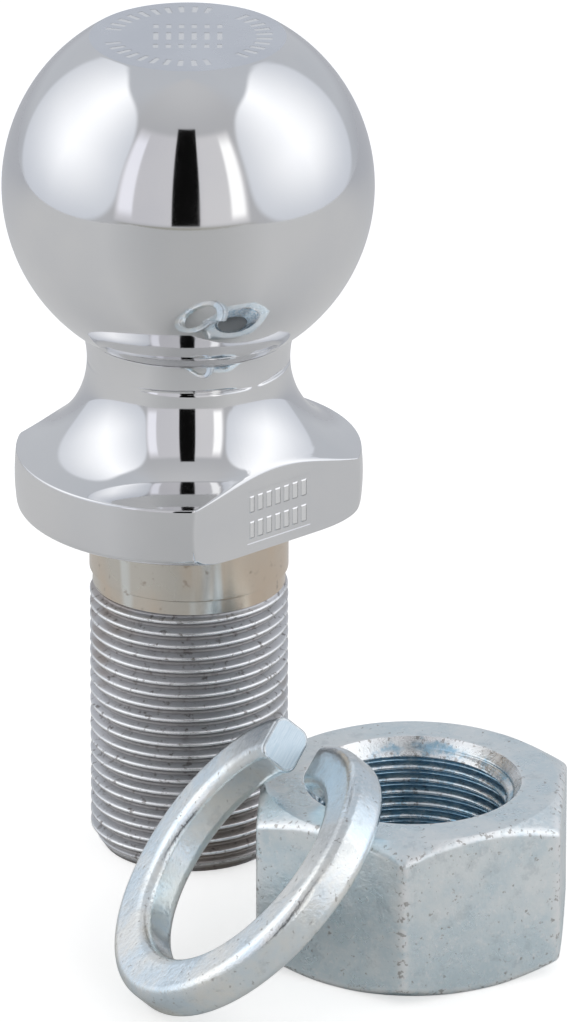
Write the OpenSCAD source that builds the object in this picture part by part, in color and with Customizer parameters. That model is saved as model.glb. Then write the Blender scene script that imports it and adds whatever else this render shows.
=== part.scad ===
/* [Ball] */
// Diameter of the coupling ball
ball_diameter = 58.74; // [50:0.01:62]
// Diameter of the flat on top of the ball
flat_diameter = 30.9; // [24:0.1:34]
// Height of the ball's centre above the underside of the flange
ball_rise = 54.4; // [50:0.05:64]

/* [Neck and flange] */
// Smallest diameter of the neck
neck_diameter = 32.2; // [28:0.1:36]
// How far the narrowest point of the neck is below the ball's centre
neck_drop = 28.9; // [28:0.1:31]
// Diameter of the flange at its upper edge
rim_diameter = 54.8; // [51:0.1:58]
// How far the side of the flange bulges beyond its edges
rim_bulge = 0.25; // [0.1:0.05:1.2]
// Height of the flange's side
rim_height = 8.4; // [7:0.1:10]
// Height of the rounding under the flange
rim_foot = 1.85; // [0.8:0.05:2.5]
// How far that rounding reaches in from the side
rim_foot_width = 3.8; // [1:0.1:4.5]
// Distance across the two wrench flats
wrench_flats = 43.2; // [41:0.1:48]
// Direction that one wrench flat faces, seen from above
wrench_turn = -49.3; // [-90:0.1:90]

/* [Shank] */
// Diameter of the shank over its thread
shank_diameter = 31.75; // [28:0.01:32.5]
// Length from the end of the shank to the underside of the flange
shank_length = 57.6; // [48:0.05:76]
// Length of the plain collar under the flange
collar_length = 10; // [6:0.1:14]
// Width of the groove between collar and thread
groove_width = 2.2; // [1:0.1:4]
// Depth of that groove
groove_depth = 0.5; // [0.2:0.05:1]
// How far the chamfer at the end cuts in
end_chamfer = 2; // [0.5:0.1:2.4]
// Height of that chamfer
end_chamfer_height = 3; // [1:0.1:4]

/* [Nut] */
// Distance across the flats of the nut
nut_across_flats = 47.62; // [45:0.01:52]
// Thickness of the nut
nut_thickness = 26.7; // [20:0.1:32]
// Diameter of the hole over the tops of the nut's own thread
nut_bore = 29.5; // [27:0.01:30.5]
// Diameter of the countersink at both ends of the hole
nut_countersink = 34; // [32:0.1:36]
// Diameter of the flat faces inside the corner chamfers
nut_face = 46.2; // [42:0.1:47]
// Middle of the nut to the right of the ball's axis
nut_across = 35.3; // [32:0.1:60]
// Middle of the nut in front of the ball's axis
nut_ahead = 38.1; // [34:0.1:70]
// How far the nut is turned
nut_turn = 26.5; // [0:0.1:60]

/* [Lock washer] */
// Outside diameter of the lock washer
washer_outside = 50.6; // [48:0.1:54]
// Inside diameter of the lock washer
washer_inside = 35; // [32:0.1:36]
// Thickness of its section
washer_thickness = 7; // [6:0.1:8]
// Bevel on the edges of its section
washer_bevel = 1.2; // [0.5:0.1:1.6]
// How far its two ends are apart along its axis
washer_spring = 8.5; // [4:0.1:10]
// Width of the slit between its two ends, in degrees
washer_slit = 1; // [0.5:0.1:6]
// Where the slit is, in degrees from the lowest point
washer_slit_at = 211.5; // [195:0.5:220]
// How far the washer leans from lying flat
washer_lean = 47.2; // [42:0.1:50]
// Direction in which it leans, seen from above
washer_heading = 12.2; // [0:0.1:20]
// How far its middle is to the right of the nut's, seen along that direction
washer_aside = 14.1; // [12:0.1:17]
// How far out the nut holds the washer up, as a share of its corner radius
washer_rest = 0.86; // [0.85:0.005:0.96]

/* [Hidden] */

ball_r = ball_diameter / 2;
flat_r = flat_diameter / 2;
flat_up = sqrt(ball_r * ball_r - flat_r * flat_r);
ball_z = shank_length + ball_rise;
neck_r = neck_diameter / 2;
rim_r = rim_diameter / 2;
rim_low = shank_length + rim_foot;
rim_top = rim_low + rim_height;
neck_z = ball_z - neck_drop;
// One arc runs from the narrowest point of the neck to the flange's upper edge
sweep_rise = neck_z - rim_top;
sweep_out = rim_r - neck_r;
sweep_r = (sweep_rise * sweep_rise + sweep_out * sweep_out) / (2 * sweep_out);
// The neck's outline ends inside the ball
neck_top = ball_z - neck_drop * 0.68;
neck_top_r = neck_r + (rim_r - neck_r) / 2;
shank_r = shank_diameter / 2;
groove_top = shank_length - collar_length;
groove_low = groove_top - groove_width;
end_r = shank_r - end_chamfer;
big = 200;

nut_r = nut_across_flats / sqrt(3);
nut_pos = [nut_across, -nut_ahead, 0];
nut_cone = tan(30);
sink_depth = (nut_countersink - nut_bore) / 2;

washer_mid = (washer_outside + washer_inside) / 4;
washer_wide = (washer_outside - washer_inside) / 2;
washer_steps = 84;
// The ring stands on the ground a little past its lowest side, because it climbs as it goes round
washer_climb = washer_spring / (360 - washer_slit) * 180 / PI * cos(washer_lean);
washer_foot_r = washer_outside / 2 - washer_bevel;
washer_foot = asin(washer_climb / (washer_foot_r * sin(washer_lean)));
washer_lift = washer_spring
    * (0.5 - (360 + washer_foot - washer_slit_at - washer_slit / 2) / (360 - washer_slit));
washer_up = max(washer_outside / 2 * sin(washer_lean) * cos(washer_foot)
        + (washer_thickness / 2 - washer_bevel) * cos(washer_lean),
    washer_foot_r * sin(washer_lean) * cos(washer_foot)
        + washer_thickness / 2 * cos(washer_lean)) - washer_lift * cos(washer_lean);
// The washer's middle plane meets the height of the nut's top face this far from the nut's axis
nut_reach = nut_r * washer_rest + (nut_thickness - washer_up) / tan(washer_lean);
heading = [cos(washer_heading), sin(washer_heading), 0];
sideways = [-sin(washer_heading), cos(washer_heading), 0];
washer_pos = nut_pos - heading * nut_reach - sideways * washer_aside
    + [0, 0, washer_up];

tow_ball();
lock_washer();
hex_nut();

// Points down the bulged side of the flange and round the rounding under it
function rim_side() = concat(
    [for (share = [-1:0.5:1])
        [rim_r + rim_bulge * (1 - share * share), rim_low + rim_height * (1 - share) / 2]],
    [for (turn = [15:15:90])
        [rim_r - rim_foot_width * (1 - cos(turn)), rim_low - rim_foot * sin(turn)]]
);

// Half of the outline of the ball, cut off level at its top
module ball_outline() {
    intersection() {
        translate([0, ball_z]) circle(r = ball_r, $fn = 96);
        translate([0, ball_z - ball_r]) square([ball_r, ball_r + flat_up]);
    }
}

// Half of the outline of the neck, which sweeps out to the flange, and of the flange
module flange_outline() {
    difference() {
        polygon(concat([[0, neck_top], [neck_top_r, neck_top]], rim_side(), [[0, shank_length]]));
        translate([neck_r + sweep_r, neck_z]) circle(r = sweep_r, $fn = 96);
    }
}

// Half of the outline of the collar, the groove, the shank and its chamfered end
module shank_outline() {
    polygon([
        [0, 0], [end_r, 0], [shank_r, end_chamfer_height], [shank_r, groove_low],
        [shank_r - groove_depth, groove_low + groove_depth],
        [shank_r - groove_depth, groove_top - groove_depth],
        [shank_r, groove_top], [shank_r, shank_length + 0.5], [0, shank_length + 0.5]
    ]);
}

// The one-piece ball, neck, flange and shank, which stands on the end of its shank
module tow_ball() {
    color("silver")
    difference() {
        union() {
            rotate_extrude($fn = 80) ball_outline();
            rotate_extrude($fn = 80) flange_outline();
            rotate_extrude($fn = 80) shank_outline();
        }
        for (side = [0, 180])
            rotate([0, 0, wrench_turn + side])
                translate([wrench_flats / 2, -big / 2, shank_length - 0.5])
                    cube([big, big, rim_foot + rim_height + sweep_rise * 0.75]);
    }
}

// Corners of the washer's section, distance from its axis first and height second
function section() = [
    for (c = [[-1, -1], [1, -1], [1, 1], [-1, 1]])
        for (k = (c[0] * c[1] > 0 ? [0, 1] : [1, 0]))
            [washer_mid + c[0] * (washer_wide / 2 - (k == 0 ? 0 : washer_bevel)),
                c[1] * (washer_thickness / 2 - (k == 0 ? washer_bevel : 0))]
];

function on_ring(p, turn, lift) = [p[0] * cos(turn), p[0] * sin(turn), p[1] + lift];

// The spring ring, which climbs from one end to the other
module spring_ring() {
    ring = section();
    count = len(ring);
    sweep = 360 - washer_slit;
    points = [
        for (i = [0:washer_steps])
            for (p = ring)
                on_ring(p, washer_slit_at + washer_slit / 2 + sweep * i / washer_steps,
                    washer_spring * (0.5 - i / washer_steps))
    ];
    sides = [
        for (i = [0:washer_steps - 1])
            for (j = [0:count - 1])
                for (half = [0, 1])
                    half == 0
                        ? [i * count + j, i * count + (j + 1) % count, (i + 1) * count + j]
                        : [i * count + (j + 1) % count, (i + 1) * count + (j + 1) % count,
                            (i + 1) * count + j]
    ];
    first = [[for (j = [0:count - 1]) count - 1 - j]];
    last = [[for (j = [0:count - 1]) washer_steps * count + j]];
    polyhedron(points = points, faces = concat(sides, first, last));
}

// The split lock washer, leaning on the nut
module lock_washer() {
    color("gainsboro")
    translate(washer_pos)
        rotate([0, washer_lean, washer_heading + 180])
            spring_ring();
}

// Six-sided bar with both ends turned off at the corners
module nut_blank() {
    intersection() {
        cylinder(r = nut_r, h = nut_thickness, $fn = 6);
        union() {
            cylinder(r1 = nut_face / 2, r2 = nut_face / 2 + nut_thickness / 2 / nut_cone,
                h = nut_thickness / 2, $fn = 96);
            translate([0, 0, nut_thickness / 2])
                cylinder(r1 = nut_face / 2 + nut_thickness / 2 / nut_cone, r2 = nut_face / 2,
                    h = nut_thickness / 2, $fn = 96);
        }
    }
}

// The nut, which lies on the ground with its hole upright
module hex_nut() {
    color("lightsteelblue")
    translate(nut_pos) rotate([0, 0, nut_turn])
    difference() {
        nut_blank();
        translate([0, 0, -1]) cylinder(d = nut_bore, h = nut_thickness + 2, $fn = 96);
        translate([0, 0, -0.01])
            cylinder(d1 = nut_countersink + 0.02, d2 = nut_bore, h = sink_depth + 0.01, $fn = 96);
        translate([0, 0, nut_thickness - sink_depth])
            cylinder(d1 = nut_bore, d2 = nut_countersink + 0.02, h = sink_depth + 0.01, $fn = 96);
    }
}
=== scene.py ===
# %% [markdown]
# # A threaded tow ball with its lock washer and its nut
#
# The part is a chromed coupling ball on a short swept neck, with a round flange that has two flats
# for a wrench, and a fine-threaded shank. It stands on the end of its shank. The split lock washer
# leans on the nut in front of it, as they are laid out for a catalogue picture.
#
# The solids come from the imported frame. Here each of them gets a skin at the same place and size:
# the thread is cut as a real helix, edges get the small radii that forging, plating and tumbling
# leave, and the metals get their own finish.

# %% Load the frame
import math

import bpy
import numpy as np
from mathutils import Matrix, Vector


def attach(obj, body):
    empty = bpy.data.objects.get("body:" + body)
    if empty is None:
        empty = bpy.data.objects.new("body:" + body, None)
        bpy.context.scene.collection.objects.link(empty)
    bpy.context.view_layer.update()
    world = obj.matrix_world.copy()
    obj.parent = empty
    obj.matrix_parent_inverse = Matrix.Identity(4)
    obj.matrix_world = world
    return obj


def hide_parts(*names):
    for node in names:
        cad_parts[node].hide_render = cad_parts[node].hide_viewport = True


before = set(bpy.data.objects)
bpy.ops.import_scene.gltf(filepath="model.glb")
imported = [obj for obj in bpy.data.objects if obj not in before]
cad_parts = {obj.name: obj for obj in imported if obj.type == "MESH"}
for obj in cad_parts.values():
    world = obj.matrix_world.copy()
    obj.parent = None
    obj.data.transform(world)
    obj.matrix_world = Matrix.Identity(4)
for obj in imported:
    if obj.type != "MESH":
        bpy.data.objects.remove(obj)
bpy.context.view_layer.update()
print("nodes:", sorted(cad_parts))

# %% [markdown]
# ## Sizes
#
# Everything below is in millimetres and is turned into metres only when a mesh is made. The numbers
# are the ones the solids were built with, so a skin lands exactly on its solid. Angles seen from
# above are in degrees, with 0 along +X and -90 towards the camera.

# %% Sizes of the real thing
MM = 0.001
BALL_R = 29.37
BALL_Z = 112.0
FLAT_R = 15.45
FLAT_UP = math.sqrt(BALL_R ** 2 - FLAT_R ** 2)
NECK_R = 16.1
NECK_Z = BALL_Z - 28.9
RIM_R = 27.4
RIM_BULGE = 0.25
SHANK_LENGTH = 57.6
RIM_FOOT = 1.85
RIM_FOOT_WIDTH = 3.8
RIM_LOW = SHANK_LENGTH + RIM_FOOT
RIM_TOP = RIM_LOW + 8.4
WRENCH_HALF = 21.6
WRENCH_TURN = -49.3
SHANK_R = 15.875
GROOVE_TOP = 47.6
GROOVE_LOW = 45.4
GROOVE_R = SHANK_R - 0.5
END_CHAMFER = 2.0
END_CHAMFER_HEIGHT = 3.0
PITCH = 25.4 / 12

NUT_FLATS = 47.62
NUT_R = NUT_FLATS / math.sqrt(3)
NUT_T = 26.7
NUT_FACE_R = 23.1
NUT_SINK_R = 17.0
NUT_BORE_R = 14.75
NUT_AT = np.array([35.3, -38.1, 0.0])
NUT_TURN = 26.5

WASHER_OUT = 25.3
WASHER_IN = 17.5
WASHER_T = 7.0
WASHER_BEVEL = 1.2
WASHER_SPRING = 8.5
WASHER_SLIT = 1.0
WASHER_SLIT_AT = 211.5
WASHER_LEAN = 47.2
WASHER_HEADING = 12.2
WASHER_ASIDE = 14.1
WASHER_REST = 0.86


# %% [markdown]
# ## How the skins are made
#
# Every surface here is a grid of rings, because turning, threading and coiling all make rings. The
# normals are worked out from the grid itself, from one point to the next along both directions.
# Chrome shows the smallest ripple in a normal, and the usual average over faces ripples wherever
# the spacing of the rings changes.

# %% Grid meshes
def unit(v):
    """Vectors of length one, and zero where a vector has no length."""
    size = np.linalg.norm(v, axis=-1, keepdims=True)
    return np.where(size > 1e-12, v / np.maximum(size, 1e-12), 0.0)


def grid_normals(rings, flip, lead):
    """Normals of a grid of rings, closed along each ring and open from ring to ring."""
    after, before = np.roll(rings, -1, axis=1), np.roll(rings, 1, axis=1)
    row = np.arange(len(rings))
    after[:, -1] = rings[np.maximum(row - lead, 0), 0]
    before[:, 0] = rings[np.minimum(row + lead, len(rings) - 1), -1]
    along = after - before
    across = np.gradient(rings, axis=0)
    normals = unit(np.cross(along, across)) * (-1.0 if flip else 1.0)
    for _ in range(8):
        lost = np.linalg.norm(normals, axis=-1) < 0.5
        if not lost.any():
            break
        spread = unit(np.roll(normals, 1, 0) + np.roll(normals, -1, 0)
                      + np.roll(normals, 1, 1) + np.roll(normals, -1, 1))
        normals[lost] = spread[lost]
    return normals


def ring_mesh(name, rings, flip=False, caps=(), marks=None, cap_marks=None, lead=0):
    """One object from rings of points in millimetres. A cap closes the first or last ring flat.

    marks holds one number per point, kept on the mesh as the attribute "wear". cap_marks does the
    same for the points round a cap. Caps use the second material, where there is one. lead says by
    how many rings a helix has climbed when it comes round to its first column again.
    """
    count, size = rings.shape[:2]
    points = [rings.reshape(-1, 3)]
    normals = [grid_normals(rings, flip, lead).reshape(-1, 3)]
    row, column = np.mgrid[0:count - 1, 0:size]
    beside = (column + 1) % size
    climb = np.where(beside == 0, lead, 0)
    quads = np.stack([row * size + column, np.maximum(row - climb, 0) * size + beside,
                      np.maximum(row + 1 - climb, 0) * size + beside,
                      (row + 1) * size + column], axis=-1).reshape(-1, 4)
    corners = points[0][quads]
    area = np.cross(corners[:, 2] - corners[:, 0], corners[:, 3] - corners[:, 1])
    quads = quads[np.linalg.norm(area, axis=1) > 1e-7]
    if flip:
        quads = quads[:, ::-1]
    faces = [tuple(dict.fromkeys(q)) for q in quads.tolist()]
    wear = [np.zeros(count * size) if marks is None else np.asarray(marks).reshape(-1)]
    for which in caps:
        ring = rings[0] if which == "first" else rings[-1]
        middle = ring.mean(axis=0)
        start = sum(len(p) for p in points)
        facing = unit(np.cross(ring[0] - middle, ring[size // 4] - middle))
        outward = (rings[0] - rings[1] if which == "first" else rings[-1] - rings[-2]).mean(axis=0)
        turned = float(facing @ outward) < 0
        points.append(ring)
        normals.append(np.tile(-facing if turned else facing, (size, 1)))
        wear.append(np.zeros(size) if cap_marks is None else np.asarray(cap_marks, float))
        order = range(start, start + size)
        faces.append(tuple(reversed(order)) if turned else tuple(order))
    points = np.concatenate(points)
    mesh = bpy.data.meshes.new(name)
    mesh.from_pydata((points * MM).tolist(), [], faces)
    mesh.polygons.foreach_set("use_smooth", [True] * len(mesh.polygons))
    for face in mesh.polygons[len(quads):]:
        face.material_index = 1
    layer = mesh.attributes.new("wear", "FLOAT", "POINT")
    layer.data.foreach_set("value", np.concatenate(wear).astype(np.float32))
    mesh.normals_split_custom_set_from_vertices(np.concatenate(normals).tolist())
    piece = bpy.data.objects.new(name, mesh)
    bpy.context.scene.collection.objects.link(piece)
    return piece


def arc(middle, radius, start, end, steps):
    """Points of an arc in an outline, as distance from the axis and height. Angles in radians."""
    turn = np.linspace(start, end, steps)
    return np.stack([middle[0] + radius * np.cos(turn), middle[1] + radius * np.sin(turn)], -1)


def worn_outline(points, radius, bend=1.5, longest=2.0, step=0.05):
    """An outline with every corner rounded to about the radius, thinned out where it is straight."""
    points = np.asarray(points, float)
    lengths = np.concatenate([[0], np.cumsum(np.linalg.norm(np.diff(points, axis=0), axis=1))])
    keep = np.concatenate([[True], np.diff(lengths) > 1e-9])
    points, lengths = points[keep], lengths[keep]
    count = int(lengths[-1] / step)
    at = np.linspace(0, lengths[-1], count)
    fine = np.stack([np.interp(at, lengths, points[:, c]) for c in (0, 1)], -1)
    spread = radius * 0.6 / step
    reach = int(spread * 3) + 1
    kernel = np.exp(-0.5 * (np.arange(-reach, reach + 1) / spread) ** 2)
    kernel /= kernel.sum()
    padded = np.concatenate([2 * fine[:1] - fine[reach:0:-1], fine,
                             2 * fine[-1:] - fine[-2:-reach - 2:-1]])
    soft = np.stack([np.convolve(padded[:, c], kernel, "valid") for c in (0, 1)], -1)
    heading = np.unwrap(np.arctan2(*np.gradient(soft, axis=0).T[::-1]))
    chosen, last = [0], 0
    for n in range(1, count):
        turned = abs(heading[n] - heading[last]) > math.radians(bend)
        if turned or (n - last) * step > longest or n == count - 1:
            chosen.append(n)
            last = n
    return soft[chosen]


def soft_min(a, b, width):
    """The smaller of two lengths, with the corner between them rounded over the width."""
    share = np.clip(0.5 + 0.5 * (b - a) / width, 0, 1)
    return b + (a - b) * share - width * share * (1 - share)


# %% [markdown]
# ## The forging's head
#
# On the real part the ball, neck and flange are one hot forging, turned, polished and chromed, so
# they are one skin here. The wrench flats are milled after the turning. They are made by holding
# every ring inside two planes, with the corner rounded over half a millimetre as polishing does.
# The columns of the grid gather along that corner, so that its line is clean and not stepped.

# %% Head: flat top, ball, neck and flange
sweep_rise, sweep_out = NECK_Z - RIM_TOP, RIM_R - NECK_R
SWEEP_R = (sweep_rise ** 2 + sweep_out ** 2) / (2 * sweep_out)
SWEEP_MID = (NECK_R + SWEEP_R, NECK_Z)
CROWN_R = ((RIM_TOP - RIM_LOW) ** 2 / 4 + RIM_BULGE ** 2) / (2 * RIM_BULGE)
CROWN_MID = (RIM_R + RIM_BULGE - CROWN_R, (RIM_TOP + RIM_LOW) / 2)


def head_outline():
    """Half of the head's outline, from the middle of the flat top down to the collar."""
    ball = arc((0, BALL_Z), BALL_R, math.acos(FLAT_R / BALL_R), -math.pi / 2, 700)
    gap = np.hypot(ball[:, 0] - SWEEP_MID[0], ball[:, 1] - SWEEP_MID[1])
    ball = ball[: int(np.flatnonzero(gap < SWEEP_R)[-1]) + 1]
    low = math.atan2(RIM_TOP - SWEEP_MID[1], RIM_R - SWEEP_MID[0])
    high = math.atan2(ball[-1][1] - SWEEP_MID[1], ball[-1][0] - SWEEP_MID[0])
    neck = arc(SWEEP_MID, SWEEP_R, high % (2 * math.pi), low % (2 * math.pi), 300)
    side_angle = math.asin((RIM_TOP - RIM_LOW) / 2 / CROWN_R)
    side = arc(CROWN_MID, CROWN_R, side_angle, -side_angle, 80)
    foot = arc((0, 0), 1.0, 0, -math.pi / 2, 40) * [RIM_FOOT_WIDTH, RIM_FOOT]
    foot += [RIM_R - RIM_FOOT_WIDTH, RIM_LOW]
    return np.concatenate([[[0.02, BALL_Z + FLAT_UP]], ball, neck, side, foot,
                           [[SHANK_R - 0.3, SHANK_LENGTH]]])


def flange_columns(count=120, crowd=26):
    """Angles from a flat's middle, over a quarter turn, gathered at the corner of the flat."""
    corner = math.radians(36)
    inner = np.linspace(0, corner, count // 3)
    outer = np.linspace(corner, math.pi / 2, count // 3)
    near = corner + np.linspace(-1, 1, crowd) ** 3 * math.radians(5)
    return corner, np.unique(np.concatenate([inner, outer, near]).round(6))


def head_rings(outline):
    corner, quarter = flange_columns()
    half = np.concatenate([quarter, (math.pi - quarter[::-1])[1:]])
    turn = np.concatenate([half, (math.pi + half)[1:-1]])
    rings = []
    for radius, height in outline:
        share = np.arccos(min(1.0, WRENCH_HALF / radius)) if radius > WRENCH_HALF else 0.0
        if height > NECK_Z:
            share = corner
        place = max(share, math.radians(7))
        folded = np.abs((turn + math.pi / 2) % math.pi - math.pi / 2)
        moved = np.where(folded < corner, folded * place / corner,
                         math.pi / 2 - (math.pi / 2 - folded) * (math.pi / 2 - place)
                         / (math.pi / 2 - corner))
        base = np.round(turn / math.pi) * math.pi
        angle = base + np.sign(turn - base) * moved
        reach = np.full_like(angle, radius)
        if height < NECK_Z:
            plane = WRENCH_HALF / np.maximum(np.abs(np.cos(angle)), 1e-6)
            reach = soft_min(reach, plane, 0.5)
        way = angle + math.radians(WRENCH_TURN)
        rings.append(np.stack([reach * np.cos(way), reach * np.sin(way),
                               np.full_like(way, height)], -1))
    return np.array(rings)


head = ring_mesh("ball_head", head_rings(worn_outline(head_outline(), 0.3)), flip=True)
print("head:", len(head.data.vertices), "points")

# %% [markdown]
# ## Collar, groove and threaded shank
#
# The collar locates the ball in its hole and is turned to the shank's full diameter. A narrow
# groove lets the thread cutter run out. The thread is right-handed with 12 turns to the inch, so
# the grid's rings are laid along the helix: each ring climbs by one pitch per turn, and the crest
# is then a true line of the mesh and can't be stepped.

# %% Collar and thread
def turned(outline, columns=192):
    """Rings of a turned outline."""
    way = np.linspace(0, 2 * math.pi, columns, endpoint=False)
    ring = np.stack([np.cos(way), np.sin(way)], -1)
    return np.array([np.concatenate([ring * r, np.full((columns, 1), h)], 1) for r, h in outline])


collar = ring_mesh("collar", turned(worn_outline([
    (SHANK_R, SHANK_LENGTH + 0.2), (SHANK_R, GROOVE_TOP), (GROOVE_R, GROOVE_TOP - 0.25),
    (GROOVE_R, GROOVE_LOW - 0.3)], 0.12)), flip=True)


def thread_depth(phase, crest=0.14, root=0.2):
    """How deep a 60 degree thread is, from 0 at its crest to 1 at its root, by share of a pitch."""
    away = np.abs((phase + 0.5) % 1.0 - 0.5) * 2
    ramp = np.clip((away - crest) / (1 - crest - root), 0, 1)
    return ramp - np.sin(2 * math.pi * ramp) * 0.045


def thread_rings(low, high, radius_at, columns, per_pitch, first_crest):
    """Rings along the helix between two heights. radius_at(height, depth) gives the surface."""
    way = np.linspace(0, 2 * math.pi, columns, endpoint=False)
    climb = PITCH * way / (2 * math.pi)
    rows = np.arange(math.floor((low - PITCH) / PITCH * per_pitch),
                     math.ceil(high / PITCH * per_pitch) + 1)
    rings, marks = [], []
    for row in rows[::-1]:
        height = np.clip(row * PITCH / per_pitch + climb, low, high)
        phase = (height - climb - first_crest) / PITCH
        depth = thread_depth(phase)
        radius = radius_at(height, depth)
        rings.append(np.stack([radius * np.cos(way), radius * np.sin(way), height], -1))
        marks.append(1 - depth)
    return np.array(rings), np.array(marks)


THREAD_DEEP = 1.25
CREST_R = SHANK_R - 0.04


def shank_radius(height, depth):
    run_out = np.clip((GROOVE_LOW - height) / 1.2, 0, 1)
    plain = CREST_R - (CREST_R - GROOVE_R) * (1 - run_out)
    radius = plain - depth * THREAD_DEEP * run_out
    chamfer = SHANK_R - END_CHAMFER + END_CHAMFER * height / END_CHAMFER_HEIGHT
    return np.minimum(radius, chamfer)


FIRST_CREST = 43.93 + PITCH * 0.25
RINGS_PER_PITCH = 14
shank_grid, shank_marks = thread_rings(0.0, GROOVE_LOW, shank_radius, 192, RINGS_PER_PITCH,
                                       FIRST_CREST)
shank = ring_mesh("threaded_shank", shank_grid, flip=True, caps=("last",), marks=shank_marks,
                  lead=RINGS_PER_PITCH)
print("shank:", len(shank.data.vertices), "points,", round(GROOVE_LOW / PITCH, 1), "turns of thread")

# %% [markdown]
# ## The split lock washer
#
# Lock washers are coiled from drawn bar and cut off turn by turn, so the section has soft corners,
# the cut ends are flat, and the free ring climbs from one end to the other. The skin sweeps that
# section along the same climb as the solid, and leans with it on the nut.

# %% Lock washer
END_ROUND = 0.6


def washer_section(radius=2.0, steps=9):
    """The bar's section with rounded corners, as distance from the axis and height."""
    mid, half, up = (WASHER_OUT + WASHER_IN) / 2, (WASHER_OUT - WASHER_IN) / 2, WASHER_T / 2
    corners = [(1, 1, 0), (-1, 1, 90), (-1, -1, 180), (1, -1, 270)]
    loop = [arc((mid + sx * (half - radius), sz * (up - radius)), radius,
                math.radians(start), math.radians(start + 90), steps) for sx, sz, start in corners]
    return np.concatenate(loop)


lean, heading = math.radians(WASHER_LEAN), math.radians(WASHER_HEADING)
climb = WASHER_SPRING / math.radians(360 - WASHER_SLIT) * math.cos(lean)
foot_r = WASHER_OUT - WASHER_BEVEL
foot_turn = math.asin(climb / (foot_r * math.sin(lean)))
washer_lift = WASHER_SPRING * (0.5 - (360 + math.degrees(foot_turn) - WASHER_SLIT_AT
                                      - WASHER_SLIT / 2) / (360 - WASHER_SLIT))
down, flat = math.sin(lean) * math.cos(foot_turn), math.cos(lean)
washer_up = max(WASHER_OUT * down + (WASHER_T / 2 - WASHER_BEVEL) * flat,
                foot_r * down + WASHER_T / 2 * flat) - washer_lift * flat
nut_reach = NUT_R * WASHER_REST + (NUT_T - washer_up) / math.tan(lean)
WASHER_AT = NUT_AT - nut_reach * np.array([math.cos(heading), math.sin(heading), 0]) \
    - WASHER_ASIDE * np.array([-math.sin(heading), math.cos(heading), 0]) \
    + np.array([0, 0, washer_up])
washer_turn = np.array(Matrix.Rotation(heading + math.pi, 3, "Z") @ Matrix.Rotation(lean, 3, "Y"))


def washer_rings(steps=260):
    """Rings along the climb. Near both ends the section shrinks, which rounds the cut edges."""
    loop = washer_section()
    middle = (WASHER_OUT + WASHER_IN) / 2
    sweep = math.radians(360 - WASHER_SLIT)
    last = END_ROUND / (middle * sweep)
    near_end = last * np.array([0, 0.06, 0.15, 0.3, 0.5, 0.75])
    shares = np.concatenate([near_end, np.linspace(last, 1 - last, steps), 1 - near_end[::-1]])
    rings, marks = [], []
    for share in shares:
        left = min(share, 1 - share, last) / last
        inset = END_ROUND * (1 - math.sqrt(1 - (1 - left) ** 2))
        centre = np.array([middle, 0.0])
        away = loop - centre
        shrunk = centre + away * (1 - inset / np.linalg.norm(away, axis=1, keepdims=True))
        turn = math.radians(WASHER_SLIT_AT + WASHER_SLIT / 2) + sweep * share
        lift = WASHER_SPRING * (0.5 - share)
        flat = np.stack([shrunk[:, 0] * math.cos(turn), shrunk[:, 0] * math.sin(turn),
                         shrunk[:, 1] + lift], -1)
        rings.append(flat @ washer_turn.T + WASHER_AT)
        marks.append(edge_wear(loop))
    return np.array(rings), np.array(marks)


def edge_wear(loop):
    """How near each point of the section is to one of its corners, from 0 to 1."""
    half, up = (WASHER_OUT - WASHER_IN) / 2, WASHER_T / 2
    across = half - np.abs(loop[:, 0] - (WASHER_OUT + WASHER_IN) / 2)
    return np.clip(1 - (across + up - np.abs(loop[:, 1])) / 1.5, 0, 1)


washer_grid, washer_marks = washer_rings()
washer = ring_mesh("split_washer", washer_grid, flip=False, caps=("first", "last"),
                   marks=washer_marks, cap_marks=washer_section()[:, 1])
print("washer:", len(washer.data.vertices), "points, lowest at",
      round(min(v.co.z for v in washer.data.vertices) / MM, 3), "mm")

# %% [markdown]
# ## The hex nut
#
# The nut is cold formed from bar: six flats, both ends turned off at 30 degrees so that only the
# corners are cut, and a countersink that leads the thread in. The outside is one closed skin from
# the upper countersink round to the lower one. The thread inside follows the same helix rule.

# %% Nut
def hexagon(angle, roundness=110):
    """Distance of the nut's side from its axis, by angle from a corner, with worn corners."""
    faces = math.pi / 6 + np.arange(6) * math.pi / 3
    facing = np.clip(np.cos(angle[:, None] - faces), 0, 1)
    return NUT_FLATS / 2 / (facing ** roundness).sum(1) ** (1 / roundness)


def nut_columns():
    corner = np.linspace(-1, 1, 25) ** 3 * math.radians(5)
    side = np.linspace(math.radians(5.4), math.radians(54.6), 36)
    one = np.unique(np.concatenate([corner, side]))
    return np.concatenate([one + n * math.pi / 3 for n in range(6)])


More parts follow.
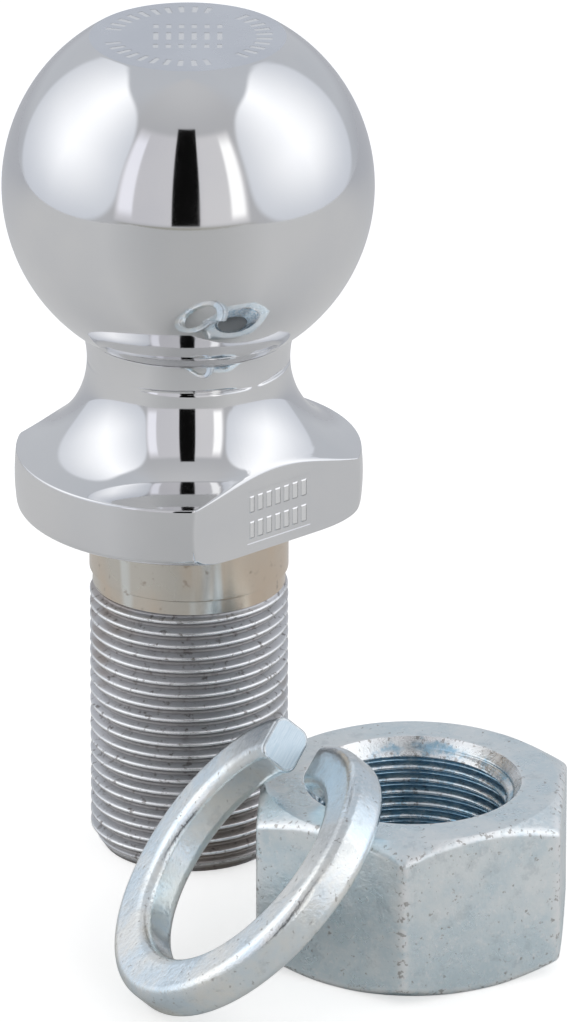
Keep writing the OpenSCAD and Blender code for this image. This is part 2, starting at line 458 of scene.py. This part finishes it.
def nut_outside():
    """The nut's outside from its upper countersink to its lower one, and how worn each point is."""
    way = nut_columns()
    flats = hexagon(way)
    slope = math.tan(math.radians(30))
    top, marks = [], []
    for radius in np.linspace(NUT_SINK_R + 0.15, NUT_FACE_R - 0.5, 8):
        top.append(np.stack([radius * np.cos(way), radius * np.sin(way),
                             np.full_like(way, NUT_T)], -1))
        marks.append(np.full_like(way, 0.8 * (radius < NUT_SINK_R + 0.3)))
    corner = np.abs((way + math.pi / 6) % (math.pi / 3) - math.pi / 6) * NUT_R
    for down in np.concatenate([np.linspace(0.06, 3.4, 54), np.linspace(3.7, NUT_T / 2, 14)]):
        cone = NUT_FACE_R + down / slope
        reach = soft_min(np.full_like(way, cone), flats, 1.3)
        top.append(np.stack([reach * np.cos(way), reach * np.sin(way),
                             np.full_like(way, NUT_T - down)], -1))
        crease = np.abs(cone - flats)
        marks.append(np.maximum(np.exp(-(corner / 1.1) ** 2) * (cone > flats - 1),
                                np.exp(-(crease / 1.3) ** 2)))
    low = [np.stack([p[:, 0], p[:, 1], NUT_T - p[:, 2]], -1) for p in top[::-1]]
    return np.array(top + low[1:]), np.array(marks + marks[::-1][1:])


def placed(rings):
    turn = np.array(Matrix.Rotation(math.radians(NUT_TURN), 3, "Z"))
    return rings @ turn.T + NUT_AT


nut_grid, nut_marks = nut_outside()
nut = ring_mesh("nut_body", placed(nut_grid), flip=True, marks=nut_marks)

NUT_MAJOR_R = 15.95


def bore_radius(height, depth):
    """The nut's thread is tightest at its crest and opens out into both countersinks."""
    radius = NUT_BORE_R + depth * (NUT_MAJOR_R - NUT_BORE_R)
    edge = np.minimum(height, NUT_T - height)
    return np.maximum(radius, NUT_SINK_R + 0.15 - edge * 0.82)


bore_grid, bore_marks = thread_rings(0.0, NUT_T, bore_radius, 168, RINGS_PER_PITCH, 24.0)
bore = ring_mesh("nut_thread", placed(bore_grid), flip=False, marks=bore_marks,
                 lead=RINGS_PER_PITCH)
print("nut:", len(nut.data.vertices) + len(bore.data.vertices), "points")

# %% [markdown]
# ## Metals
#
# Each finish is a small group of its own that gives only colours, masks and heights. The chrome has
# faint polishing haze and hairlines, the zinc a fine speckle and dull patches, and the bare thread
# dark pits and brown stains, because those are what tell these three greys apart.

# %% Node helpers
class Nodes:
    """A short way to add nodes and links to one tree."""

    def __init__(self, tree):
        self.tree = tree

    def add(self, kind, **settings):
        node = self.tree.nodes.new(kind)
        for key, value in settings.items():
            setattr(node, key, value)
        return node

    def link(self, a, b):
        self.tree.links.new(a, b)

    def value(self, operation, a, b=None, clamp=False):
        node = self.add("ShaderNodeMath", operation=operation, use_clamp=clamp)
        for slot, item in enumerate((a, b)):
            if item is None:
                continue
            if isinstance(item, (int, float)):
                node.inputs[slot].default_value = item
            else:
                self.link(item, node.inputs[slot])
        return node.outputs[0]

    def noise(self, place, scale, detail=3.0, rough=0.5, stretch=None):
        if stretch is not None:
            mapping = self.add("ShaderNodeMapping")
            mapping.inputs["Scale"].default_value = stretch
            self.link(place, mapping.inputs["Vector"])
            place = mapping.outputs[0]
        node = self.add("ShaderNodeTexNoise")
        node.inputs["Scale"].default_value = scale
        node.inputs["Detail"].default_value = detail
        node.inputs["Roughness"].default_value = rough
        self.link(place, node.inputs["Vector"])
        return node.outputs["Fac"]

    def ramp(self, value, low, high, to_low=0.0, to_high=1.0):
        node = self.add("ShaderNodeMapRange", clamp=True, interpolation_type="SMOOTHSTEP")
        for key, item in (("Value", value), ("From Min", low), ("From Max", high),
                          ("To Min", to_low), ("To Max", to_high)):
            if isinstance(item, (int, float)):
                node.inputs[key].default_value = item
            else:
                self.link(item, node.inputs[key])
        return node.outputs["Result"]

    def band(self, value, low, high, soft_low, soft_high):
        """1 between two values, 0 outside them, with soft ends."""
        return self.value("SUBTRACT", self.ramp(value, low - soft_low, low + soft_low),
                          self.ramp(value, high - soft_high, high + soft_high), clamp=True)

    def pulse(self, value, count, share):
        """1 over a share of each of the count parts that a run from 0 to 1 is cut into."""
        part = self.value("FRACT", self.value("MULTIPLY", value, float(count)))
        away = self.value("ABSOLUTE", self.value("SUBTRACT", part, 0.5))
        return self.ramp(away, share / 2 - 0.06, share / 2 + 0.06, 1.0, 0.0)

    def mix(self, share, a, b):
        node = self.add("ShaderNodeMix", data_type="RGBA")
        for slot, item in ((node.inputs[0], share), (node.inputs[6], a), (node.inputs[7], b)):
            if isinstance(item, tuple):
                slot.default_value = (*item, 1.0)
            elif isinstance(item, (int, float)):
                slot.default_value = item
            else:
                self.link(item, slot)
        return node.outputs[2]

    def place(self):
        return self.add("ShaderNodeTexCoord").outputs["Object"]

    def wear(self):
        return self.add("ShaderNodeAttribute", attribute_name="wear").outputs["Fac"]

    def axes(self, vector):
        node = self.add("ShaderNodeSeparateXYZ")
        self.link(vector, node.inputs[0])
        return node.outputs


OUTPUTS = {"Color": "NodeSocketColor", "Roughness": "NodeSocketFloat",
           "Height": "NodeSocketFloat"}


def finish_group(name, build, **inputs):
    """A node group with the outputs Color, Roughness and Height, and an input for each value."""
    tree = bpy.data.node_groups.new(name, "ShaderNodeTree")
    for key, value in inputs.items():
        kind = "NodeSocketColor" if isinstance(value, tuple) else "NodeSocketFloat"
        socket = tree.interface.new_socket(key, in_out="INPUT", socket_type=kind)
        socket.default_value = (*value, 1.0) if isinstance(value, tuple) else value
    for key, kind in OUTPUTS.items():
        tree.interface.new_socket(key, in_out="OUTPUT", socket_type=kind)
    nodes = Nodes(tree)
    start = nodes.add("NodeGroupInput")
    end = nodes.add("NodeGroupOutput")
    made = build(nodes, **{key: start.outputs[key] for key in inputs})
    for key, socket in zip(OUTPUTS, made):
        nodes.link(socket, end.inputs[key])
    return tree


def metal(name, group, bump, distance=0.0001, **values):
    """A metal whose colour, roughness and bumps come from a finish group with its own values."""
    material = bpy.data.materials.new(name)
    material.use_nodes = True
    nodes = Nodes(material.node_tree)
    shader = next(n for n in material.node_tree.nodes if n.type == "BSDF_PRINCIPLED")
    shader.inputs["Metallic"].default_value = 1.0
    finish = nodes.add("ShaderNodeGroup", node_tree=group)
    for key, value in values.items():
        finish.inputs[key].default_value = (*value, 1.0) if isinstance(value, tuple) else value
    raised = nodes.add("ShaderNodeBump")
    raised.inputs["Strength"].default_value = bump
    raised.inputs["Distance"].default_value = distance
    nodes.link(finish.outputs["Color"], shader.inputs["Base Color"])
    nodes.link(finish.outputs["Roughness"], shader.inputs["Roughness"])
    nodes.link(finish.outputs["Height"], raised.inputs["Height"])
    nodes.link(raised.outputs["Normal"], shader.inputs["Normal"])
    return material


# %% Chrome, satin flat, collar and thread
EDGE = 0.00015


def chrome_finish(n):
    place = n.place()
    haze = n.noise(place, 60.0, 4.0)
    lines = n.noise(place, 900.0, 2.0, stretch=(1.0, 1.0, 0.06))
    color = n.mix(n.ramp(haze, 0.35, 0.7), (0.78, 0.785, 0.80), (0.82, 0.82, 0.825))
    rough = n.value("ADD", n.ramp(haze, 0.4, 0.75, 0.045, 0.075),
                    n.ramp(lines, 0.6, 0.8, 0.0, 0.03))
    return color, rough, n.value("ADD", haze, n.value("MULTIPLY", lines, 0.05))


chrome_group = finish_group("chrome_finish", chrome_finish)
chrome = metal("polished_chrome", chrome_group, 0.01)


def flat_finish(n):
    """Satin face with a ring of plain raised ticks round rows of short ones."""
    place = n.place()
    haze = n.noise(place, 90.0, 4.0)
    grain = n.noise(place, 1400.0, 3.0)
    x, y, _ = n.axes(place)
    reach = n.value("SQRT", n.value("ADD", n.value("MULTIPLY", x, x), n.value("MULTIPLY", y, y)))
    turn = n.value("ADD", n.value("DIVIDE", n.value("ARCTAN2", y, x), 2 * math.pi), 0.5)
    ring = n.value("MULTIPLY", n.band(reach, 0.0108, 0.0133, EDGE, EDGE), n.pulse(turn, 36, 0.4))
    ring = n.value("MULTIPLY", ring, n.pulse(turn, 3, 0.8))
    rows = n.value("MULTIPLY", n.band(y, -0.0052, 0.0052, EDGE, EDGE),
                   n.pulse(n.value("ADD", y, 0.0026), 192, 0.6))
    rows = n.value("MULTIPLY", rows, n.pulse(x, 500, 0.4))
    rows = n.value("MULTIPLY", rows, n.band(x, -0.006, 0.006, EDGE, EDGE))
    ticks = n.value("MAXIMUM", ring, rows)
    color = n.mix(n.ramp(haze, 0.35, 0.7), (0.74, 0.765, 0.82), (0.79, 0.815, 0.865))
    color = n.mix(n.value("MULTIPLY", ticks, 0.85), color, (1.0, 1.0, 1.0))
    height = n.value("ADD", n.value("MULTIPLY", grain, 0.12), ticks)
    return color, n.ramp(haze, 0.3, 0.7, 0.2, 0.3), height


def stamp_finish(n):
    """Chrome of the wrench flats, with a panel of two rows of plain raised bars."""
    polish = n.add("ShaderNodeGroup", node_tree=chrome_group)
    x, y, up = n.axes(n.place())
    turn = math.radians(WRENCH_TURN)
    along = n.value("SUBTRACT", n.value("MULTIPLY", y, math.cos(turn)),
                    n.value("MULTIPLY", x, math.sin(turn)))
    panel = n.value("MULTIPLY", n.band(along, -0.0063, 0.0069, EDGE, EDGE),
                    n.band(up, 0.0593, 0.0681, EDGE, EDGE))
    rows = n.value("ADD", n.band(up, 0.0602, 0.0629, EDGE, EDGE),
                   n.band(up, 0.0646, 0.0672, EDGE, EDGE))
    bars = n.value("MULTIPLY", rows, n.pulse(n.value("ADD", along, 0.00625), 555, 0.58))
    bars = n.value("MULTIPLY", bars, n.band(along, -0.0057, 0.0063, EDGE, EDGE))
    color = n.mix(n.value("MULTIPLY", bars, 0.8), polish.outputs["Color"], (0.95, 0.95, 0.95))
    rough = n.value("ADD", polish.outputs["Roughness"], n.value("MULTIPLY", panel, 0.16))
    fine = n.value("MULTIPLY", polish.outputs["Height"], 0.02)
    sunk = n.value("SUBTRACT", bars, n.value("MULTIPLY", panel, 0.35))
    return color, rough, n.value("ADD", fine, sunk)


def collar_finish(n):
    """Straw to copper heat tint with silvery runs down the metal."""
    place = n.place()
    cloud = n.noise(place, 70.0, 4.0, stretch=(1, 1, 0.5))
    runs = n.noise(place, 160.0, 2.0, stretch=(1, 1, 0.12))
    spots = n.noise(place, 600.0, 3.0)
    color = n.mix(n.ramp(cloud, 0.38, 0.62), (0.70, 0.585, 0.47), (0.66, 0.63, 0.57))
    color = n.mix(n.ramp(runs, 0.58, 0.68, 0.0, 0.8), color, (0.80, 0.82, 0.80))
    color = n.mix(n.ramp(spots, 0.62, 0.75, 0.0, 0.7), color, (0.40, 0.33, 0.27))
    return color, n.ramp(cloud, 0.3, 0.7, 0.16, 0.3), n.value("MULTIPLY", spots, 0.4)


def thread_finish(n):
    """Grey plate that is worn bright on the crests, pitted and stained all over, with painted shade
    in the roots.
    """
    place = n.place()
    wear = n.wear()
    cloud = n.noise(place, 60.0, 4.0)
    pits = n.noise(place, 900.0, 4.0, 0.65)
    stain = n.noise(place, 45.0, 3.0)
    color = n.mix(n.ramp(cloud, 0.35, 0.7), (0.63, 0.64, 0.66), (0.70, 0.70, 0.72))
    # Painted shade: the thread's roots are painted darker.
    color = n.mix(n.ramp(wear, 0.3, 0.0, 0.0, 0.7), color, (0.26, 0.24, 0.23))
    color = n.mix(n.ramp(stain, 0.53, 0.65, 0.0, 0.5), color, (0.36, 0.28, 0.22))
    color = n.mix(n.ramp(wear, 0.8, 0.98), color, (0.88, 0.89, 0.90))
    color = n.mix(n.ramp(pits, 0.55, 0.68, 0.0, 0.8), color, (0.20, 0.18, 0.17))
    return color, n.ramp(wear, 0.6, 1.0, 0.46, 0.26), n.value("MULTIPLY", pits, -1.0)


# %% [markdown]
# Zinc comes out of its bath with a fine crystal speckle and a faint blue and straw shimmer. Tumbling
# then bruises the edges, which turn brighter and rougher and keep brown grit in their pits. The
# "wear" of a mesh says how near an edge is.

# %% Zinc
def zinc_finish(n, cool, warm, dark, dark_from, dark_to, dull, sheen):
    """Zinc of two tints, with painted shade: a dark tint laid on from one height to another."""
    place = n.place()
    wear = n.wear()
    cloud = n.noise(place, 75.0, 5.0, 0.6)
    mottle = n.noise(place, 260.0, 5.0, 0.7)
    speck = n.noise(place, 1300.0, 3.0, 0.6)
    pits = n.noise(place, 1100.0, 4.0, 0.62)
    bruise = n.value("MULTIPLY", wear, n.ramp(n.noise(place, 420.0, 4.0, 0.65), 0.36, 0.56))
    grit = n.value("ADD", pits, n.value("MULTIPLY", wear, 0.08))
    painted_shade_height = n.value("ADD", n.axes(place)[2], n.ramp(cloud, 0.3, 0.7, -0.004, 0.004))
    color = n.mix(n.ramp(cloud, 0.38, 0.62), cool, warm)
    # Painted shade: the dark tint by height stands in for shade, not for a colour of the zinc.
    color = n.mix(n.ramp(painted_shade_height, dark_from, dark_to), color, dark)
    color = n.mix(n.ramp(mottle, 0.52, 0.64, 0.0, 0.28), color, (0.96, 0.98, 0.98))
    color = n.mix(n.ramp(mottle, 0.46, 0.36, 0.0, 0.22), color, (0.40, 0.46, 0.50))
    color = n.mix(n.ramp(speck, 0.54, 0.72, 0.0, 0.5), color, (0.96, 0.98, 0.99))
    color = n.mix(n.value("MULTIPLY", bruise, 0.85), color, (0.97, 0.98, 0.98))
    color = n.mix(n.ramp(grit, 0.62, 0.71, 0.0, 0.7), color, (0.34, 0.32, 0.30))
    rough = n.value("ADD", n.ramp(cloud, 0.3, 0.7, sheen, dull), n.value("MULTIPLY", bruise, 0.08))
    height = n.value("ADD", speck, n.value("MULTIPLY", mottle, 1.6))
    return color, rough, n.value("SUBTRACT", height, n.value("MULTIPLY", grit, 1.5))


def cut_finish(n):
    """Sawn end of the washer: fine lines across the bar, and a bluish film."""
    place = n.place()
    line = n.add("ShaderNodeCombineXYZ")
    n.link(n.wear(), line.inputs[0])
    n.link(n.noise(place, 120.0, 2.0), line.inputs[1])
    saw = n.noise(line.outputs[0], 7.0, 4.0, 0.7)
    color = n.mix(n.ramp(saw, 0.35, 0.65), (0.60, 0.72, 0.80), (0.78, 0.87, 0.93))
    return color, n.ramp(saw, 0.3, 0.7, 0.3, 0.42), saw


stamp = metal("stamped_chrome", finish_group("stamp_finish", stamp_finish), 0.55, 0.00035)
satin = metal("satin_flat", finish_group("flat_finish", flat_finish), 0.6, 0.0002)
straw = metal("straw_collar", finish_group("collar_finish", collar_finish), 0.12, 0.00005)
dull = metal("dull_thread", finish_group("thread_finish", thread_finish), 0.4)
sawn_zinc = metal("sawn_zinc", finish_group("cut_finish", cut_finish), 0.5)
zinc = finish_group("zinc_finish", zinc_finish, cool=(0.71, 0.82, 0.87), warm=(0.87, 0.92, 0.93),
                    dark=(0.5, 0.55, 0.59), dark_from=1.0, dark_to=2.0, dull=0.35, sheen=0.25)
# Painted shade on the washer: its zinc turns to the dark tint from 29 mm to 41 mm above the floor,
# so its upper part is painted darker.
bright_zinc = metal("bright_zinc", zinc, 0.4, cool=(0.80, 0.91, 0.98), warm=(0.96, 0.96, 0.92),
                    dark_from=0.029, dark_to=0.041, dull=0.24, sheen=0.15)
grey_zinc = metal("grey_zinc", zinc, 0.6)
# Painted shade inside the nut's bore: a dark blue tint below about 24 mm, so only the upper
# countersink keeps the zinc's own tints.
bore_painted_shade = metal("bore_zinc_painted_shade", zinc, 0.3, cool=(0.80, 0.87, 0.90), warm=(0.88, 0.90, 0.90),
                   dark=(0.38, 0.58, 0.72), dark_from=0.0256, dark_to=0.0236, dull=0.26, sheen=0.16)

for piece, materials, node, slot in (
        (head, (chrome, satin, stamp), "tow_ball", "chrome_plate"),
        (collar, (straw,), "tow_ball", "chrome_plate"),
        (shank, (dull,), "tow_ball", "chrome_plate"),
        (washer, (bright_zinc, sawn_zinc), "lock_washer", "zinc_washer"),
        (nut, (grey_zinc,), "hex_nut", "zinc_nut"),
        (bore, (bore_painted_shade,), "hex_nut", "zinc_nut")):
    for material in materials:
        piece.data.materials.append(material)
    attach(piece, "root")
    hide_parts(node)

facing = (math.cos(math.radians(WRENCH_TURN)), math.sin(math.radians(WRENCH_TURN)))
for face in head.data.polygons:
    corners = [head.data.vertices[v].co for v in face.vertices]
    if all(c.z > (BALL_Z + FLAT_UP - 0.05) * MM for c in corners):
        face.material_index = 1
    elif all(abs(c.x * facing[0] + c.y * facing[1]) > (WRENCH_HALF - 0.02) * MM
             for c in corners):
        face.material_index = 2

# %% [markdown]
# ## Room, floor and camera
#
# Polished metal shows its room. The picture was taken in a light tent: two big soft panels left and
# right of the camera, a grey front with two bright gaps, and the dark slot that the lens looks
# through. The room is painted on the world by direction only, so it stays put from every side. The
# camera itself sees plain white, as in a cut-out.

# %% Room
def studio_world():
    world = bpy.data.worlds.new("light_tent")
    world.use_nodes = True
    tree = world.node_tree
    tree.nodes.clear()
    n = Nodes(tree)
    x, y, z = n.axes(n.add("ShaderNodeTexCoord").outputs["Generated"])
    azimuth = n.value("MULTIPLY", n.value("ARCTAN2", x, n.value("MULTIPLY", y, -1.0)),
                      180 / math.pi)
    height = n.value("MULTIPLY", n.value("ARCSINE", z), 180 / math.pi)
    wide = n.value("ABSOLUTE", azimuth)

    def patch(az, el, az_soft, el_soft):
        return n.value("MULTIPLY", n.band(azimuth, *az, *az_soft), n.band(height, *el, *el_soft))

    # Walls and ceiling
    color = n.mix(n.ramp(height, 50, 85), (0.50, 0.505, 0.525), (0.60, 0.605, 0.62))
    color = n.mix(n.ramp(wide, 45, 85), color, (0.57, 0.59, 0.625))
    behind = n.value("MULTIPLY", n.ramp(wide, 115, 145), n.ramp(height, 6.0, -8.0))
    color = n.mix(behind, color, (0.48, 0.495, 0.53))
    # Two soft panels with round corners, brightest in the middle
    aside = n.value("SUBTRACT", n.value("ABSOLUTE", n.value("ADD", azimuth, 2.0)), 89.5)
    span = n.value("POWER", n.value("ABSOLUTE", n.value("DIVIDE", aside, 47.5)), 3.2)
    rise = n.value("ABSOLUTE", n.value("DIVIDE", n.value("SUBTRACT", height, 24.5), 35.5))
    shape = n.value("ADD", span, n.value("POWER", rise, 3.2))
    panels = n.ramp(shape, 1.12, 0.86)
    glow = n.value("MULTIPLY", n.ramp(n.value("ABSOLUTE", aside), 66.0, -14.0),
                   n.ramp(height, -16.0, 24.0))
    color = n.mix(panels, color, n.mix(glow, (0.66, 0.69, 0.75), (1.34, 1.35, 1.37)))
    lamp = n.value("MULTIPLY", n.ramp(n.value("ABSOLUTE", aside), 22.0, 0.0),
                   n.band(height, 30.0, 30.0, 16.0, 16.0))
    color = n.mix(lamp, color, (2.2, 2.2, 2.2))
    # Grey front with two bright gaps, the edge of the table and the slot of the lens
    front = patch((-45, 38), (-4.5, 50.5), (1.5, 1.5), (1.5, 2.5))
    color = n.mix(front, color, n.mix(n.ramp(azimuth, -30, 20), (0.64, 0.635, 0.665),
                                      (0.70, 0.695, 0.715)))
    for at, tint in (
            (patch((-43.5, -34), (0, 46), (2.0, 1.0), (4, 5)), (0.98, 0.98, 1.05)),
            (patch((27, 36), (-1, 46), (1.0, 1.5), (3, 5)), (1.25, 1.25, 1.25)),
            (patch((-40, 38), (-8.0, -5.2), (8, 8), (0.7, 0.5)), (0.36, 0.355, 0.32)),
            (patch((-9.6, 7.5), (-4.5, 55.5), (0.3, 0.3), (0.5, 0.5)), (0.004, 0.004, 0.004))):
        color = n.mix(at, color, tint)
    room = n.add("ShaderNodeBackground")
    n.link(color, room.inputs["Color"])
    seen = n.add("ShaderNodeBackground")
    seen.inputs["Color"].default_value = (1, 1, 1, 1)
    pick = n.add("ShaderNodeMixShader")
    n.link(n.add("ShaderNodeLightPath").outputs["Is Camera Ray"], pick.inputs[0])
    n.link(room.outputs[0], pick.inputs[1])
    n.link(seen.outputs[0], pick.inputs[2])
    n.link(pick.outputs[0], n.add("ShaderNodeOutputWorld").inputs["Surface"])
    return world


bpy.context.scene.world = studio_world()
bpy.context.scene.view_settings.view_transform = "Standard"


def floor_material():
    """Pale floor: plain grey to mirrors, near white to the camera, shaded where a piece stands, with
    a painted shadow in a wedge in front of the part and darker towards the back.
    """
    material = bpy.data.materials.new("pale_floor")
    material.use_nodes = True
    n = Nodes(material.node_tree)
    shader = next(x for x in material.node_tree.nodes if x.type == "BSDF_PRINCIPLED")
    x, y, _ = n.axes(n.place())
    # Painted shadow: a darker wedge of floor in front of the part, towards the camera.
    slant = n.value("DIVIDE", n.value("ABSOLUTE", x),
                    n.value("MAXIMUM", n.value("MULTIPLY", y, -1.0), 0.001))
    front = n.value("MULTIPLY", n.ramp(slant, 1.3, 0.1), n.ramp(y, 0.0, -0.03))
    tone = n.mix(front, (0.82, 0.81, 0.785), (0.66, 0.655, 0.635))
    tone = n.mix(n.ramp(y, 0.08, 0.4), tone, (0.66, 0.665, 0.68))
    n.link(tone, shader.inputs["Base Color"])
    shader.inputs["Roughness"].default_value = 0.9
    shader.inputs["Specular IOR Level"].default_value = 0.0
    glow = n.add("ShaderNodeEmission")
    glow.inputs["Color"].default_value = (1, 1, 1, 1)
    n.link(n.value("MULTIPLY", n.add("ShaderNodeLightPath").outputs["Is Camera Ray"], 0.58),
           glow.inputs["Strength"])
    both = n.add("ShaderNodeAddShader")
    n.link(shader.outputs[0], both.inputs[0])
    n.link(glow.outputs[0], both.inputs[1])
    out = next(x for x in material.node_tree.nodes if x.type == "OUTPUT_MATERIAL")
    n.link(both.outputs[0], out.inputs["Surface"])
    return material


floor_mesh = bpy.data.meshes.new("floor")
FLOOR_HALF, FLOOR_FRONT = 0.68, 1.0
floor_mesh.from_pydata([(-FLOOR_HALF, -FLOOR_FRONT, 0), (FLOOR_HALF, -FLOOR_FRONT, 0),
                        (FLOOR_HALF, FLOOR_FRONT, 0), (-FLOOR_HALF, FLOOR_FRONT, 0)], [],
                       [(0, 1, 2, 3)])
floor = bpy.data.objects.new("floor", floor_mesh)
floor.location.z = -0.00002
floor_mesh.materials.append(floor_material())
bpy.context.scene.collection.objects.link(floor)

# %% [markdown]
# ## Camera
#
# The picture was taken from about two metres with a long lens, a little above the part. The place
# and the lens were solved from the ball's outline, the flange's edges and the even spacing of the
# thread. The picture's middle is the lens's axis, so no shift is needed.

# %% Camera
eye = np.array([13.22, -1800.0, 804.05])
PAN, TILT, ROLL, FOCAL_PX = -0.0011, 0.3936, 0.001, 12261.44
PICTURE_HEIGHT = 1022
ahead = np.array([-math.sin(PAN) * math.cos(TILT), math.cos(PAN) * math.cos(TILT),
                  -math.sin(TILT)])
right = np.array([math.cos(PAN), math.sin(PAN), 0.0])
above = np.cross(right, ahead)
side = math.cos(ROLL) * right + math.sin(ROLL) * above
top = -math.sin(ROLL) * right + math.cos(ROLL) * above
lens = bpy.data.cameras.new("camera")
lens.sensor_fit = "VERTICAL"
lens.sensor_height = 24.0
lens.lens = FOCAL_PX / PICTURE_HEIGHT * 24.0
lens.clip_start, lens.clip_end = 0.05, 20
camera = bpy.data.objects.new("camera", lens)
placing = Matrix.Identity(4)
for column, axis in enumerate((side, top, -ahead, eye * MM)):
    for row in range(3):
        placing[row][column] = float(axis[row])
camera.matrix_world = placing
bpy.context.scene.collection.objects.link(camera)
bpy.context.scene.camera = camera
print("lens:", round(lens.lens, 1), "mm for a 24 mm high picture")
